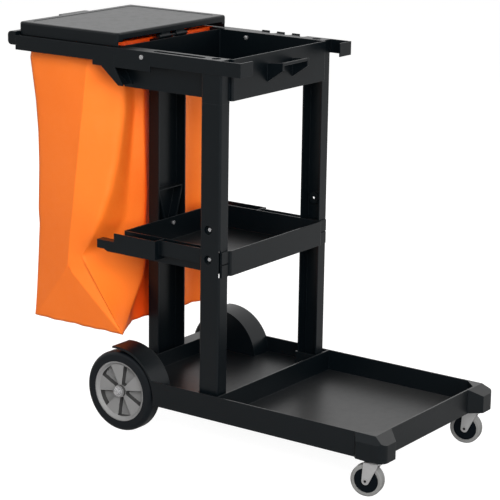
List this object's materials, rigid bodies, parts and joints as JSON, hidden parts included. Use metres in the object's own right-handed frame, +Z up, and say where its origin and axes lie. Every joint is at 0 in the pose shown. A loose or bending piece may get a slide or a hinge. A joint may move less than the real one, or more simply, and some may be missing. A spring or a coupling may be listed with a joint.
{
  "type": "janitor cart",
  "caption": "Wheeled janitor cart: platform base, middle shelf and top tray on channel posts, a bag frame with hinged lid and hanging bag, big rear wheels and front casters.",
  "frame": {"origin": "on the floor under the middle of the overall box", "axes": "+X towards the platform end with the casters, +Y to the left seen from the handle, +Z up"},
  "size_m": [1.116, 0.502, 0.97],
  "materials": {
    "black_plastic": "satin moulded",
    "steel": "plain bright",
    "zinc": "zinc plated",
    "tyre": "smooth rubber",
    "hub_plastic": "satin",
    "tread": "smooth",
    "bag_fabric": "coated woven sheet"
  },
  "bodies": {
    "chassis": {"base_tray": "black_plastic", "corner_bumper_left": "black_plastic", "corner_bumper_right": "black_plastic", "front_post_left": "black_plastic", "front_post_right": "black_plastic", "post_screws": "steel", "rear_column": "black_plastic", "column_screws": "steel", "middle_shelf": "black_plastic", "top_tray": "black_plastic", "bag_frame": "black_plastic", "frame_bolts": "steel", "handle_bar": "black_plastic", "handle_screws": "steel", "bag": "bag_fabric", "hinge_bracket": "black_plastic", "bracket_screws": "steel", "hinge_pin": "steel", "rear_axle": "steel", "axle_washers": "steel", "axle_caps": "steel", "caster_stem_left": "zinc", "caster_stem_right": "zinc"},
    "lid": {"lid": "black_plastic"},
    "rear_wheel_left": {"rear_tyre_left": "tyre", "rear_hub_left": "hub_plastic", "rear_bush_left": "black_plastic"},
    "caster_left": {"caster_fork_left": "zinc", "caster_axle_left": "steel"},
    "caster_wheel_left": {"caster_hub_left": "black_plastic", "caster_tread_left": "tread"},
    "rear_wheel_right": {"rear_tyre_right": "tyre", "rear_hub_right": "hub_plastic", "rear_bush_right": "black_plastic"},
    "caster_right": {"caster_fork_right": "zinc", "caster_axle_right": "steel"},
    "caster_wheel_right": {"caster_hub_right": "black_plastic", "caster_tread_right": "tread"}
  },
  "joints": [
    {"name": "lid_hinge", "type": "hinge", "parent": "chassis", "child": "lid", "pos_m": [-0.2305, 0, 0.944], "axis": [0, 1, 0], "range_deg": [0, 90]},
    {"name": "rear_wheel_left_turn", "type": "hinge", "parent": "chassis", "child": "rear_wheel_left", "pos_m": [-0.209, 0.212, 0.1], "axis": [0, 1, 0], "continuous": true},
    {"name": "caster_left_swivel", "type": "hinge", "parent": "chassis", "child": "caster_left", "pos_m": [0.521, 0.222, 0.08], "axis": [0, 0, 1], "continuous": true},
    {"name": "caster_wheel_left_turn", "type": "hinge", "parent": "caster_left", "child": "caster_wheel_left", "pos_m": [0.50339, 0.21826, 0.038], "axis": [-0.2079, 0.9781, 0], "continuous": true},
    {"name": "rear_wheel_right_turn", "type": "hinge", "parent": "chassis", "child": "rear_wheel_right", "pos_m": [-0.209, -0.212, 0.1], "axis": [0, 1, 0], "continuous": true},
    {"name": "caster_right_swivel", "type": "hinge", "parent": "chassis", "child": "caster_right", "pos_m": [0.521, -0.222, 0.08], "axis": [0, 0, 1], "continuous": true},
    {"name": "caster_wheel_right_turn", "type": "hinge", "parent": "caster_right", "child": "caster_wheel_right", "pos_m": [0.50339, -0.22574, 0.038], "axis": [-0.2079, 0.9781, 0], "continuous": true}
  ]
}
